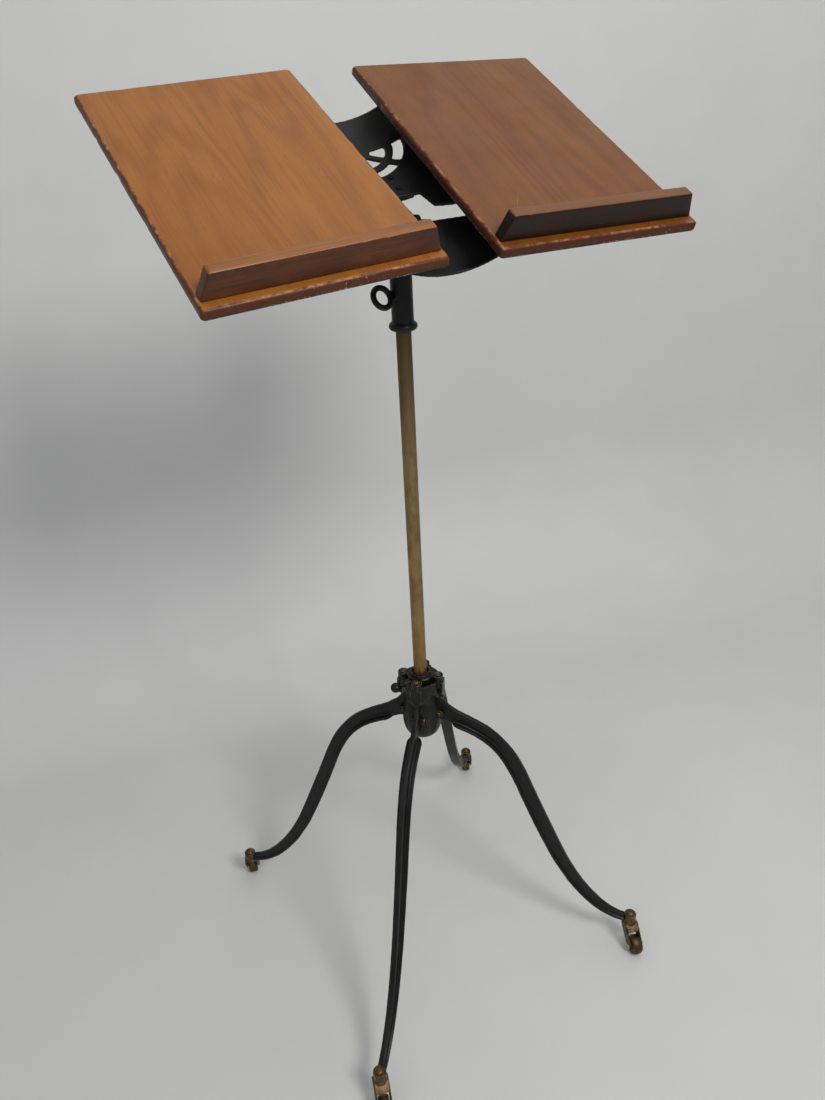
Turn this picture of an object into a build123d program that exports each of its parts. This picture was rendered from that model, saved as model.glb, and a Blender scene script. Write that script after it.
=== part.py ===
from build123d import *
import math
import os

# Folio stand: two hardwood leaves on a cast cradle that tilts and swivels on a
# telescoping brass pole, over a cast-iron hub with four cabriole legs on casters.
#
# Frame: millimetres, +Z up, origin on the floor under the pole's axis. The reader
# stands on the -Y side and +X is the reader's right. "Up the slope" is towards +Y
# along the tilted leaves. Azimuths are degrees about Z from +X.

os.makedirs("parts", exist_ok=True)

# ------------------------------------------------------------ driving sizes
RUN = 0.05                      # radial running clearance
POLE_R = 19.05 / 2              # 3/4 in brass tube
POLE_WALL = 1.65
POLE_Z0, POLE_Z1 = 404.0, 1098.0
BORE_R = POLE_R + RUN

LEAF_TILT = 25.6                # degrees about X
LEAF_W, LEAF_D, LEAF_T = 254.0, 392.0, 12.7
LEAF_GAP = 70.4                 # clear space between the leaves
HEAD_O = Vector(0, 7.7, 1214.8)  # common centre of the leaves' top faces

# Each leaf's own set: roll about its inner edge and turn in its own plane, in
# degrees, then its shift up the slope. Side -1 is the left leaf, 1 the right.
LEAF_SET = {-1: (-2.97, 1.39, 0.7), 1: (-0.84, -1.86, -0.6)}

CRADLE_R = 125.0                # inside radius of the curved cradle
CRADLE_DEEP = 50.0              # its lowest line, below the leaves' top face
CRADLE_T = 3.2
CRADLE_AXIS_Z = CRADLE_R - CRADLE_DEEP

PIVOT_Y, PIVOT_Z = -39.3, -64.1  # tilt pivot, in the head's y', z'
PIVOT_R = 12.0                  # round ends of the tongue and cheeks
TONGUE_W = 16.0
BOLT_R = 4.0

HUB_Z0, HUB_Z1 = 400.0, 490.0
COLLAR_TOP = 510.0
EAR_R = 26.0                    # centre radius of the collar's ears
EAR_CUP = 2.4                   # depth of the cups in the ear tops
PIN_AT = (27.5, 443.0)          # leg pin: radius and height
PIN_R = 2.6

CLAMP_R = 3.0                   # screws that clamp the pole
CLAMP_START = POLE_R + 0.15     # their inner end
LOCK_Z = 501.0                  # height screw, in the collar
EYE_AZ, EYE_Z = 195.0, 1062.0   # swivel screw, in the head socket

BASE_TURN = 3.0                 # the base stands turned a little under the head
EAR_START = 45.0 + BASE_TURN
LOCK_AZ = 180.0 + BASE_TURN
LEG_AZ = {"front_left": 225.0 + BASE_TURN, "front_right": 315.0 + BASE_TURN,
          "rear_right": 45.0 + BASE_TURN, "rear_left": 135.0 + BASE_TURN}
TRAIL_AZ = {"front_left": 255.0, "front_right": 260.0, "rear_right": 62.0, "rear_left": 74.0}


# ------------------------------------------------------------ base planes
def polar(az, r, z=0.0):
    """Point at azimuth az and radius r from the pole's axis."""
    a = math.radians(az)
    return (r * math.cos(a), r * math.sin(a), z)


def upright(az, origin=(0, 0, 0)):
    """Upright plane: local x level along azimuth az, local y up."""
    return Plane(origin=origin, x_dir=polar(az, 1), z_dir=polar(az - 90, 1))


def facing(az, r, z=0.0):
    """Plane square to azimuth az at radius r; extrudes outwards, local y up."""
    return Plane(origin=polar(az, r, z), x_dir=polar(az + 90, 1), z_dir=polar(az, 1))


def ear_spots():
    return PolarLocations(EAR_R, 4, start_angle=EAR_START)


# ------------------------------------------------------------ head axes and planes
_tilt = math.radians(LEAF_TILT)
EX = Vector(1, 0, 0)
EY = Vector(0, math.cos(_tilt), math.sin(_tilt))
EZ = Vector(0, -math.sin(_tilt), math.cos(_tilt))


def head_point(x, y, z):
    return HEAD_O + EX * x + EY * y + EZ * z


def head_flat(z=0.0):
    """Plane along the slope, local axes x', y'."""
    return Plane(origin=head_point(0, 0, z), x_dir=EX, z_dir=EZ)


def head_side(x):
    """Plane square to X, local axes y', z'; extrudes towards +X."""
    return Plane(origin=head_point(x, 0, 0), x_dir=EY, z_dir=EX)


def head_cross(y):
    """Plane across the slope, local axes x', z'; extrudes towards the reader."""
    return Plane(origin=head_point(0, y, 0), x_dir=EX, z_dir=EY * -1)


def leaf_flat(side, z=0.0):
    """Plane along one leaf, origin at its inner edge; local x runs to +X."""
    roll_deg, turn_deg, shift = LEAF_SET[side]
    roll, turn = math.radians(roll_deg), math.radians(turn_deg)
    across = (EX * (math.cos(turn) * math.cos(roll)) + EY * math.sin(turn)
              - EZ * (math.cos(turn) * math.sin(roll)))
    normal = EX * math.sin(roll) + EZ * math.cos(roll)
    inner_edge = head_point(side * LEAF_GAP / 2, shift, 0)
    return Plane(origin=inner_edge + normal * z, x_dir=across, z_dir=normal)


def leaf_cross(side, y):
    """Plane across one leaf, local axes x, z; extrudes towards the reader."""
    flat = leaf_flat(side)
    return Plane(origin=flat.origin + flat.y_dir * y, x_dir=flat.x_dir, z_dir=flat.y_dir * -1)


# ============================================================ HUB
SLOT_W = 7.2                    # seats of the leg roots
# Outline of the bell, bottom to top: radius, height
HUB_BELL = [(13.0, HUB_Z0), (21.5, 404.5), (27.0, 414.0), (29.6, 428.0),
            (28.8, 443.0), (26.0, 456.0), (23.0, 468.0)]
FLUTE_AT, FLUTE_R = 36.0, 9.5
LUG_R, LUG_HALF_W = 6.4, 9.6
CORNER = (Align.MIN, Align.MIN)


def build_hub_body():
    with BuildPart() as hub:
        with BuildSketch(Plane.XZ):
            with BuildLine():
                Line((BORE_R, HUB_Z0), HUB_BELL[0])
                Spline(*HUB_BELL)
                Polyline(HUB_BELL[-1], (HUB_BELL[-1][0], HUB_Z1), (BORE_R, HUB_Z1),
                         (BORE_R, HUB_Z0))
            make_face()
        revolve(axis=Axis.Z)
        # shallow flutes between the legs
        with BuildSketch(Plane.XY.offset(HUB_Z0 - 5)):
            with PolarLocations(FLUTE_AT, 4, start_angle=BASE_TURN):
                Circle(FLUTE_R)
        extrude(amount=62.0, mode=Mode.SUBTRACT)
        # lugs for the leg pins
        for az in LEG_AZ.values():
            with BuildSketch(upright(az)):
                with Locations(PIN_AT):
                    Circle(LUG_R)
            extrude(amount=LUG_HALF_W, both=True)
        # leg seats and pin holes
        for az in LEG_AZ.values():
            with BuildSketch(upright(az)):
                with Locations((14.0, 425.0)):
                    Rectangle(30.0, 70.0, align=CORNER)
            extrude(amount=SLOT_W / 2, both=True, mode=Mode.SUBTRACT)
            with BuildSketch(upright(az)):
                with Locations(PIN_AT):
                    Circle(PIN_R + RUN)
            extrude(amount=12.0, both=True, mode=Mode.SUBTRACT)
    return hub.part


# ------------------------------------------------------------ collar
RIM_TOP = 514.0
EAR_SIZE = 8.0                  # outer radius of an ear
APRON_Z0, APRON_TOP = 464.0, COLLAR_TOP - 7.0
APRON_R_IN, APRON_R_OUT = 23.6, 28.5
SHIELD_AT, SHIELD_T = 31.6, 3.0
# Outlines seen square to a radius: sideways, height
HEM_NOTCH = [(-24.0, 462.0), (24.0, 462.0), (20.2, 466.0), (0.0, 488.0), (-20.2, 466.0)]
SHIELD = [(-8.5, 500.0), (-8.0, 480.0), (0.0, 468.5), (8.0, 480.0), (8.5, 500.0)]


def build_hub_collar():
    with BuildPart() as collar:
        with BuildSketch(Plane.XY.offset(HUB_Z1)):
            Circle(19.5)
            with ear_spots():
                Circle(EAR_SIZE)
            with PolarLocations(19.0, 4, start_angle=EAR_START):
                Rectangle(14.0, 13.0)
        extrude(amount=COLLAR_TOP - HUB_Z1)
        with BuildSketch(Plane.XY.offset(COLLAR_TOP)):
            Circle(15.5)
        extrude(amount=RIM_TOP - COLLAR_TOP)
        rim_edge = collar.edges().filter_by(GeomType.CIRCLE).group_by(Axis.Z)[-1]
        fillet(rim_edge, 1.2)
        # apron below the collar: its hem dips to a point over each leg
        with BuildSketch(Plane.XY.offset(APRON_Z0)):
            Circle(APRON_R_OUT)
            Circle(APRON_R_IN, mode=Mode.SUBTRACT)
        extrude(amount=APRON_TOP - APRON_Z0)
        for k in range(4):
            with BuildSketch(facing(BASE_TURN + 90.0 * k, 0.0)):
                with BuildLine():
                    Polyline(*HEM_NOTCH, close=True)
                make_face()
            extrude(amount=40.0, mode=Mode.SUBTRACT)
        # pointed shields over the leg roots
        for az in LEG_AZ.values():
            with BuildSketch(facing(az, SHIELD_AT)):
                with BuildLine():
                    Polyline(*SHIELD, close=True)
                make_face()
            extrude(amount=SHIELD_T)
        # web between shield and ear, then the seat of the leg root
        for az in LEG_AZ.values():
            with BuildSketch(upright(az)):
                with Locations((29.0, 495.0)):
                    Rectangle(5.6, 10.0)
            extrude(amount=7.0, both=True)
            with BuildSketch(upright(az)):
                with Locations((12.6, 462.0)):
                    Rectangle(18.8, 27.9, align=CORNER)
            extrude(amount=SLOT_W / 2, both=True, mode=Mode.SUBTRACT)
        # boss of the height screw, towards -X
        with BuildSketch(facing(LOCK_AZ, 15.0, LOCK_Z)):
            Circle(6.2)
        extrude(amount=13.8)
        # pole bore, then its wider mouth inside the rim
        with BuildSketch(Plane.XY.offset(HUB_Z1 - 1)):
            Circle(BORE_R)
        extrude(amount=40.0, mode=Mode.SUBTRACT)
        with BuildSketch(Plane.XY.offset(COLLAR_TOP)):
            Circle(BORE_R + 2.6)
            Circle(BORE_R - 0.5, mode=Mode.SUBTRACT)
        extrude(amount=10.0, mode=Mode.SUBTRACT)
        # ear holes and cupped ear tops
        with BuildSketch(Plane.XY.offset(HUB_Z1 - 1)):
            with ear_spots():
                Circle(2.6)
        extrude(amount=40.0, mode=Mode.SUBTRACT)
        with BuildSketch(Plane.XY.offset(COLLAR_TOP - EAR_CUP)):
            with ear_spots():
                Circle(5.9)
        extrude(amount=10.0, mode=Mode.SUBTRACT)
        # hole of the height screw
        with BuildSketch(facing(LOCK_AZ, 6.0, LOCK_Z)):
            Circle(CLAMP_R + RUN)
        extrude(amount=26.0, mode=Mode.SUBTRACT)
    return collar.part


def build_collar_screws():
    """Four hexagon-headed screws through the ears into the leg roots."""
    head_z0 = COLLAR_TOP - EAR_CUP
    head_t = 3.6
    shank_z0 = 478.0
    with BuildPart() as screws:
        with BuildSketch(Plane.XY.offset(head_z0)):
            with ear_spots():
                RegularPolygon(radius=5.2, side_count=6)
        extrude(amount=head_t)
        with BuildSketch(Plane.XY.offset(head_z0 + head_t)):
            with ear_spots():
                Circle(2.6)
        extrude(amount=1.0)
        with BuildSketch(Plane.XY.offset(shank_z0)):
            with ear_spots():
                Circle(2.45)
        extrude(amount=head_z0 - shank_z0)
    return screws.part


def build_height_screw():
    """Ball-ended screw that clamps the pole in the collar."""
    ball_r = 7.5
    ball = upright(LOCK_AZ, polar(LOCK_AZ, 43.0, LOCK_Z))
    with BuildPart() as screw:
        with BuildSketch(facing(LOCK_AZ, CLAMP_START, LOCK_Z)):
            Circle(CLAMP_R)
        extrude(amount=27.5)
        with BuildSketch(facing(LOCK_AZ, 29.0, LOCK_Z)):
            Circle(5.0)
        extrude(amount=3.0)
        with BuildSketch(ball):
            with BuildLine():
                Line((-ball_r, 0), (ball_r, 0))
                ThreePointArc((ball_r, 0), (0, ball_r), (-ball_r, 0))
            make_face()
        revolve(axis=Axis(ball.origin, ball.x_dir))
    return screw.part


# ============================================================ LEGS
TOE_R = 334.0                   # radius of the caster stems
SOCKET_R = 9.5
WEB_T = 7.0
FLANGE_T = 4.6
FLANGE_ROOT_X, FLANGE_ROOT_HALF = 57.0, 11.5
FLANGE_TOE_HALF = 6.6
# Upper and lower edges of the leg from hub to toe: radius, height
LEG_TOP = [
    (39.5, 456.5), (47.5, 451.0), (54, 446.5), (68, 439.5), (83, 432), (97, 424), (110, 414.5),
    (120, 405), (130, 393.5), (140, 380), (149, 364.5), (155, 352), (161.5, 337), (169, 318),
    (178, 295), (187.5, 271.5), (197.5, 247), (209, 219), (220.8, 191), (233, 164.5),
    (246, 141), (260, 119.5), (275.5, 100), (290, 85), (303, 75), (315, 68.5), (326, 65.5)]
LEG_LOW = [
    (46, 423.5), (55.5, 420.5), (68.5, 415.5), (80.5, 409.5), (93, 401.5), (105.5, 390.5),
    (117, 376.5), (126, 361.5), (134, 345.5), (143, 325.0), (152.5, 299.5), (163.5, 271.5),
    (174, 245), (185, 219), (196.5, 193), (207.5, 169.5), (220, 147.5), (234, 124.5),
    (248.5, 105.5), (264.5, 87), (280, 73.5), (295.5, 63.5), (310, 57.0), (326, 53.5)]
LEG_END_X = LEG_LOW[-1][0]
# Root tongue down to the first point of LEG_TOP, same columns
LEG_ROOT = [(15.0, 433.0), (15.0, 489.8), (31.3, 489.8), (31.3, 466.5), LEG_TOP[0]]


def shift_left(points, dist):
    """The polyline moved sideways by dist, to the left of its direction."""
    moved = []
    for i, (x, y) in enumerate(points):
        x0, y0 = points[max(i - 1, 0)]
        x1, y1 = points[min(i + 1, len(points) - 1)]
        chord = math.hypot(x1 - x0, y1 - y0)
        moved.append((x - (y1 - y0) / chord * dist, y + (x1 - x0) / chord * dist))
    return moved


def build_leg(az):
    """Cabriole leg: upright web with a flange along its under side."""
    plane = upright(az)
    flange_top = shift_left(LEG_LOW, FLANGE_T)
    root_x, root_half, toe_half = FLANGE_ROOT_X, FLANGE_ROOT_HALF, FLANGE_TOE_HALF
    with BuildPart() as flange:
        with BuildSketch(plane):
            with BuildLine():
                Spline(*LEG_LOW)
                Line(LEG_LOW[-1], flange_top[-1])
                Spline(*flange_top[::-1])
                Line(flange_top[0], LEG_LOW[0])
            make_face()
        extrude(amount=16.0, both=True)
        # plan taper, with the rounded end by the hub
        with BuildSketch(Plane(origin=(0, 0, 0), x_dir=polar(az, 1), z_dir=(0, 0, 1))):
            with BuildLine():
                Line((root_x, -root_half), (LEG_END_X, -toe_half))
                Line((LEG_END_X, -toe_half), (LEG_END_X, toe_half))
                Line((LEG_END_X, toe_half), (root_x, root_half))
                ThreePointArc((root_x, root_half), (root_x - root_half, 0),
                              (root_x, -root_half))
            make_face()
        extrude(amount=520.0, mode=Mode.INTERSECT)
    with BuildPart() as leg:
        with BuildSketch(plane):
            with BuildLine():
                Polyline(*LEG_ROOT)
                Spline(*LEG_TOP)
                Line(LEG_TOP[-1], LEG_LOW[-1])
                Spline(*LEG_LOW[::-1])
                Polyline(LEG_LOW[0], (38.0, 427.0), LEG_ROOT[0])
            make_face()
        extrude(amount=WEB_T / 2, both=True)
        add(flange.part)
        # screw hole under the collar's ear
        with BuildSketch(Plane.XY.offset(477.5)):
            with Locations(polar(az, EAR_R)):
                Circle(2.5)
        extrude(amount=20.0, mode=Mode.SUBTRACT)
        # pin hole in the root
        with BuildSketch(plane):
            with Locations(PIN_AT):
                Circle(PIN_R + RUN)
        extrude(amount=10.0, both=True, mode=Mode.SUBTRACT)
        # the toe is hollowed to the caster socket
        with BuildSketch(Plane.XY.offset(40.0)):
            with Locations(polar(az, TOE_R)):
                Circle(SOCKET_R)
        extrude(amount=40.0, mode=Mode.SUBTRACT)
    return leg.part


def build_leg_pins():
    """One cross pin through each leg root and both sides of its seat."""
    with BuildPart() as pins:
        for az in LEG_AZ.values():
            with BuildSketch(upright(az)):
                with Locations(PIN_AT):
                    Circle(PIN_R)
            extrude(amount=10.6, both=True)
    return pins.part


# ============================================================ CASTERS
SOCKET_Z0, SOCKET_Z1 = 53.0, 67.0
STEM_R = 4.0
STEM_PLAY = 0.3                 # gap above and below the socket
WHEEL_R, WHEEL_W = 16.0, 16.0
TRAIL = 20.5                    # axle's distance behind the stem
AXLE_R = 2.5
AXLE_AT = (TRAIL, WHEEL_R)
ARM_IN = WHEEL_W / 2 + 0.8      # inner face of a fork arm from the middle
ARM_T = 2.6
STEM_FOOT, STEM_HEAD = SOCKET_Z0 - STEM_PLAY, SOCKET_Z1 + STEM_PLAY
# Fork outlines in the caster's plane: distance from the stem along the trail, height
STEM = [(0, 46.5), (8.8, 46.5), (9.6, 48.5), (9.6, 50.5), (8.0, STEM_FOOT), (STEM_R, STEM_FOOT),
        (STEM_R, STEM_HEAD), (7.0, STEM_HEAD), (6.5, 69.0), (5.0, 70.7), (3.0, 71.6), (0, 71.9)]
BRIDGE = [(-5.5, 44.8), (-5.5, 49.6), (6.0, 49.6), (17.0, 41.2), (14.6, 37.8), (4.0, 44.8)]
ARM = [(-6.5, 48.6), (7.2, 48.6), (TRAIL + 5.4, 19.0), (TRAIL + 5.4, 13.0),
       (TRAIL + 2.0, 10.0), (TRAIL - 3.0, 10.0), (TRAIL - 5.6, 13.5), (-6.5, 42.6)]


def build_socket(az):
    """Brass cup in the leg's toe, in which the caster stem turns."""
    with BuildPart() as socket:
        with BuildSketch(Plane.XY.offset(SOCKET_Z0)):
            with Locations(polar(az, TOE_R)):
                Circle(SOCKET_R)
                Circle(STEM_R + RUN, mode=Mode.SUBTRACT)
        extrude(amount=SOCKET_Z1 - SOCKET_Z0)
        circles = socket.edges().filter_by(GeomType.CIRCLE)
        fillet(circles.filter_by(lambda e: e.radius > SOCKET_R - 0.1), 1.6)
    return socket.part


def build_fork(caster):
    """Stem with a peened head, crown and two trailing arms."""
    with BuildPart() as fork:
        with BuildSketch(caster):
            with BuildLine():
                Polyline(*STEM, close=True)
            make_face()
        revolve(axis=Axis(caster.origin, (0, 0, 1)))
        # crown bridge that spreads to the arms
        with BuildSketch(caster):
            with BuildLine():
                Polyline(*BRIDGE, close=True)
            make_face()
        extrude(amount=ARM_IN + ARM_T / 2, both=True)
        for side in (-1, 1):
            with BuildSketch(caster.offset(side * ARM_IN)):
                with BuildLine():
                    Polyline(*ARM, close=True)
                make_face()
            extrude(amount=side * ARM_T)
        # axle hole
        with BuildSketch(caster):
            with Locations(AXLE_AT):
                Circle(AXLE_R)
        extrude(amount=20.0, both=True, mode=Mode.SUBTRACT)
    return fork.part


def build_axle(caster):
    """Axle with peened heads outside the arms."""
    half_fork = ARM_IN + ARM_T
    with BuildPart() as axle:
        with BuildSketch(caster):
            with Locations(AXLE_AT):
                Circle(AXLE_R - 0.02)
        extrude(amount=half_fork + 0.6, both=True)
        for side in (-1, 1):
            with BuildSketch(caster.offset(side * (half_fork + 0.05))):
                with Locations(AXLE_AT):
                    Circle(3.9)
            extrude(amount=side * 1.4)
    return axle.part


def build_wheel(caster):
    """Barrel tread wheel with a slightly proud hub."""
    centre = caster.origin + caster.x_dir * TRAIL + Vector(0, 0, WHEEL_R)
    # local x along the axle, local y up
    wheel_plane = Plane(origin=centre, x_dir=caster.z_dir * -1, z_dir=caster.x_dir)
    half = WHEEL_W / 2
    # half section from the bore to the tread: along the axle, radius
    flank = [(half, AXLE_R + RUN), (half, 6.0), (half - 1.2, 6.8), (half - 1.2, 11.8),
             (half - 0.4, 13.6)]
    far_flank = [(-x, r) for x, r in flank]
    with BuildPart() as wheel:
        with BuildSketch(wheel_plane):
            with BuildLine():
                Polyline(far_flank[0], *flank)
                ThreePointArc(flank[-1], (0, WHEEL_R), far_flank[-1])
                Polyline(*far_flank[::-1])
            make_face()
        revolve(axis=Axis(wheel_plane.origin, wheel_plane.x_dir))
    return wheel.part


# ============================================================ POLE
def build_pole():
    with BuildPart() as pole:
        with BuildSketch(Plane.XY.offset(POLE_Z0)):
            Circle(POLE_R)
            Circle(POLE_R - POLE_WALL, mode=Mode.SUBTRACT)
        extrude(amount=POLE_Z1 - POLE_Z0)
    return pole.part


def build_pole_plug():
    """Plug in the pole's lower end, with a flat disc below it."""
    disc_t = 2.0
    with BuildPart() as plug:
        with BuildSketch(Plane.XY.offset(POLE_Z0 - disc_t)):
            Circle(POLE_R - 0.4)
        extrude(amount=disc_t)
        with BuildSketch(Plane.XY.offset(POLE_Z0)):
            Circle(POLE_R - POLE_WALL - 0.01)
        extrude(amount=12.0)
    return plug.part


# ============================================================ HEAD SOCKET
SOCKET_FOOT, SOCKET_TOP = 1018.5, 1110.0
SOCKET_BORE_TOP = 1100.0
BORE_START = 1010.0
TONGUE_FOOT = 1106.0
PIVOT_HEIGHT = head_point(0, PIVOT_Y, PIVOT_Z).Z


def build_head_socket():
    """Sleeve over the pole's top, with a tongue up to the tilt pivot."""
    with BuildPart() as socket:
        with BuildSketch(Plane.XZ):
            with BuildLine():
                Line((0, SOCKET_FOOT), (13.6, SOCKET_FOOT))
                ThreePointArc((13.6, SOCKET_FOOT), (17.4, 1023.0), (14.6, 1028.0))
                Polyline((14.6, 1028.0), (13.3, 1029.6), (13.3, 1084.0))
                Spline((13.3, 1084.0), (14.2, 1092.0), (16.8, 1099.0),
                       tangents=[(0, 1), (0.5, 1)])
                Polyline((16.8, 1099.0), (16.8, 1104.0), (12.0, SOCKET_TOP),
                         (0, SOCKET_TOP), (0, SOCKET_FOOT))
            make_face()
        revolve(axis=Axis.Z)
        # tongue
        with BuildSketch(Plane.YZ.offset(-TONGUE_W / 2)):
            with BuildLine():
                Polyline((-PIVOT_R, TONGUE_FOOT), (PIVOT_R, TONGUE_FOOT),
                         (PIVOT_R, PIVOT_HEIGHT), (-PIVOT_R, PIVOT_HEIGHT), close=True)
            make_face()
            with Locations((0, PIVOT_HEIGHT)):
                Circle(PIVOT_R)
        extrude(amount=TONGUE_W)
        # boss of the eye screw
        with BuildSketch(facing(EYE_AZ, 9.0, EYE_Z)):
            Circle(6.3)
        extrude(amount=5.9)
        # bores for the pole, the eye screw and the tilt bolt
        with BuildSketch(Plane.XY.offset(BORE_START)):
            Circle(BORE_R)
        extrude(amount=SOCKET_BORE_TOP - BORE_START, mode=Mode.SUBTRACT)
        with BuildSketch(facing(EYE_AZ, 5.0, EYE_Z)):
            Circle(CLAMP_R + RUN)
        extrude(amount=15.0, mode=Mode.SUBTRACT)
        with BuildSketch(Plane.YZ.offset(-20)):
            with Locations((0, PIVOT_HEIGHT)):
                Circle(BOLT_R + RUN)
        extrude(amount=40.0, mode=Mode.SUBTRACT)
    return socket.part


def build_eye_screw():
    """Eye-headed screw that clamps the socket to the pole."""
    ring_r, wire_r = 12.0, 3.5
    lean = math.radians(-60.0)   # the ring's axis leans from upright
    outward = Vector(*polar(EYE_AZ, 1))
    up = Vector(0, 0, 1)
    ring_centre = Vector(*polar(EYE_AZ, 31.0, EYE_Z))
    ring_axis = up * math.cos(lean) + outward.cross(up) * math.sin(lean)
    with BuildPart() as screw:
        with BuildSketch(facing(EYE_AZ, CLAMP_START, EYE_Z)):
            Circle(CLAMP_R)
        extrude(amount=9.6)
        with BuildSketch(Plane(origin=ring_centre, x_dir=outward,
                               z_dir=outward.cross(ring_axis))):
            with Locations((ring_r, 0)):
                Circle(wire_r)
        revolve(axis=Axis(ring_centre, ring_axis))
    return screw.part


# ============================================================ TILT YOKE
PIVOT_AT = (PIVOT_Y, PIVOT_Z)
PAD_X = 34.0                    # half width of the saddle pad
PAD_T = 5.4
PAD_Y, PAD_LEN = 36.0, 46.0     # upper end of the pad, and its length down the slope
CHEEK_T = 7.0
SEAT_X = 15.2                   # where bolt head and washer sit
SCREW_X = 20.0
YOKE_SCREWS = [(x, y) for x in (-SCREW_X, SCREW_X) for y in (4.0, 26.0)]
YOKE_HOLE_R, YOKE_SHANK_R = 2.5, 2.45
# Cheek outline: y', z'
CHEEK = [(PIVOT_Y, PIVOT_Z + PIVOT_R), (-12.0, -55.2), (33.0, -55.2), (33.0, -60.0),
         (8.0, -68.0), (-14.0, -77.5), (PIVOT_Y, PIVOT_Z - PIVOT_R)]


def cradle_z(x, r):
    """Height z' at x on the cradle's lower arc of radius r."""
    return CRADLE_AXIS_Z - math.sqrt(r * r - x * x)


def arc_points(half_width, r):
    """Left, lowest and right points of the cradle's arc of radius r."""
    z = cradle_z(half_width, r)
    return (-half_width, z), (0, CRADLE_AXIS_Z - r), (half_width, z)


def build_tilt_yoke():
    pad_in = arc_points(PAD_X, CRADLE_R + CRADLE_T)
    pad_out = arc_points(PAD_X, CRADLE_R + CRADLE_T + PAD_T)
    with BuildPart() as yoke:
        # saddle pad that follows the under side of the cradle
        with BuildSketch(head_cross(PAD_Y)):
            with BuildLine():
                ThreePointArc(*pad_in)
                Line(pad_in[2], pad_out[2])
                ThreePointArc(*pad_out[::-1])
                Line(pad_out[0], pad_in[0])
            make_face()
        extrude(amount=PAD_LEN)
        # two cheeks down to the pivot
        for side in (1, -1):
            with BuildSketch(head_side(side * (TONGUE_W / 2 + 0.08))):
                with BuildLine():
                    Polyline(*CHEEK, close=True)
                make_face()
                with Locations(PIVOT_AT):
                    Circle(PIVOT_R)
            extrude(amount=side * CHEEK_T)
        # bolt hole
        with BuildSketch(head_side(-30.0)):
            with Locations(PIVOT_AT):
                Circle(BOLT_R + 0.01)
        extrude(amount=60.0, mode=Mode.SUBTRACT)
        # cradle screw holes
        with BuildSketch(head_flat(-45.0)):
            with Locations(*YOKE_SCREWS):
                Circle(YOKE_HOLE_R)
        extrude(amount=-30.0, mode=Mode.SUBTRACT)
    return yoke.part


def build_tilt_bolt():
    head_t = 5.0
    with BuildPart() as bolt:
        with BuildSketch(head_side(-SEAT_X - head_t)):
            with Locations(PIVOT_AT):
                RegularPolygon(radius=7.5, side_count=6)
        extrude(amount=head_t)
        with BuildSketch(head_side(-SEAT_X)):
            with Locations(PIVOT_AT):
                Circle(BOLT_R)
        extrude(amount=SEAT_X + 28.0)
    return bolt.part


def build_tilt_washer():
    with BuildPart() as washer:
        with BuildSketch(head_side(SEAT_X)):
            with Locations(PIVOT_AT):
                Circle(9.0)
                Circle(BOLT_R + 0.02, mode=Mode.SUBTRACT)
        extrude(amount=1.6)
    return washer.part


def build_wing_nut():
    """Wing nut that clamps the tilt, its wings level."""
    wing_t = 3.8
    wing_origin = head_point(0, PIVOT_Y, PIVOT_Z) + Vector(0, 0, -wing_t / 2)
    # wing outline: x, distance from the bolt's axis
    wing = [(19.0, 5.0), (20.5, 12.0), (26.0, 18.5), (31.5, 17.5), (32.0, 12.5), (27.0, 4.5)]
    with BuildPart() as nut:
        with BuildSketch(head_side(16.9)):
            with Locations(PIVOT_AT):
                Circle(7.6)
        extrude(amount=10.0, taper=8)
        for side in (-1, 1):
            outline = [(x, side * y) for x, y in wing]
            with BuildSketch(Plane(origin=wing_origin, x_dir=EX, z_dir=(0, 0, 1))):
                with BuildLine():
                    Spline(*outline)
                    Line(outline[-1], outline[0])
                make_face()
            extrude(amount=wing_t)
        with BuildSketch(head_side(10.0)):
            with Locations(PIVOT_AT):
                Circle(BOLT_R + RUN)
        extrude(amount=40.0, mode=Mode.SUBTRACT)
    return nut.part


# ============================================================ CRADLE
CRADLE_LEN = 315.0
LUG_X = 126.0                   # outer edge of the screw lugs
CUT_DEPTH = -80.0               # cuts down through the cradle
SCREW_U = 76.0                  # leaf screws, from the leaf's inner edge
SCREW_YS = (-140.0, -112.0, 112.0, 140.0)
FAN_Y, SPOKE = 90.0, 8.0        # centre of the pierced fan, width of its spokes
FAN_RINGS = ((21.0, 39.0), (48.5, 60.0))  # inner and outer radius of each ring


def leaf_screw_spots(side):
    return [(side * SCREW_U, y) for y in SCREW_YS]


def lug_point(side, u, z):
    """Section point (x', z') by a leaf: u outwards from its inner edge, z off its face."""
    roll = math.radians(LEAF_SET[side][0])
    return (side * (LEAF_GAP / 2 + u * math.cos(roll)) + z * math.sin(roll),
            -side * u * math.sin(roll) + z * math.cos(roll))


def arc_meet(side, r, z):
    """Where the cradle's arc of radius r meets the line at z off a leaf's face."""
    low, high = 20.0, 90.0
    for _ in range(60):
        mid = (low + high) / 2
        x, h = lug_point(side, mid, z)
        if x * x + (h - CRADLE_AXIS_Z) ** 2 < r * r:
            low = mid
        else:
            high = mid
    return lug_point(side, low, z)


def fan_point(r, angle):
    return (r * math.cos(angle), FAN_Y + r * math.sin(angle))


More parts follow.
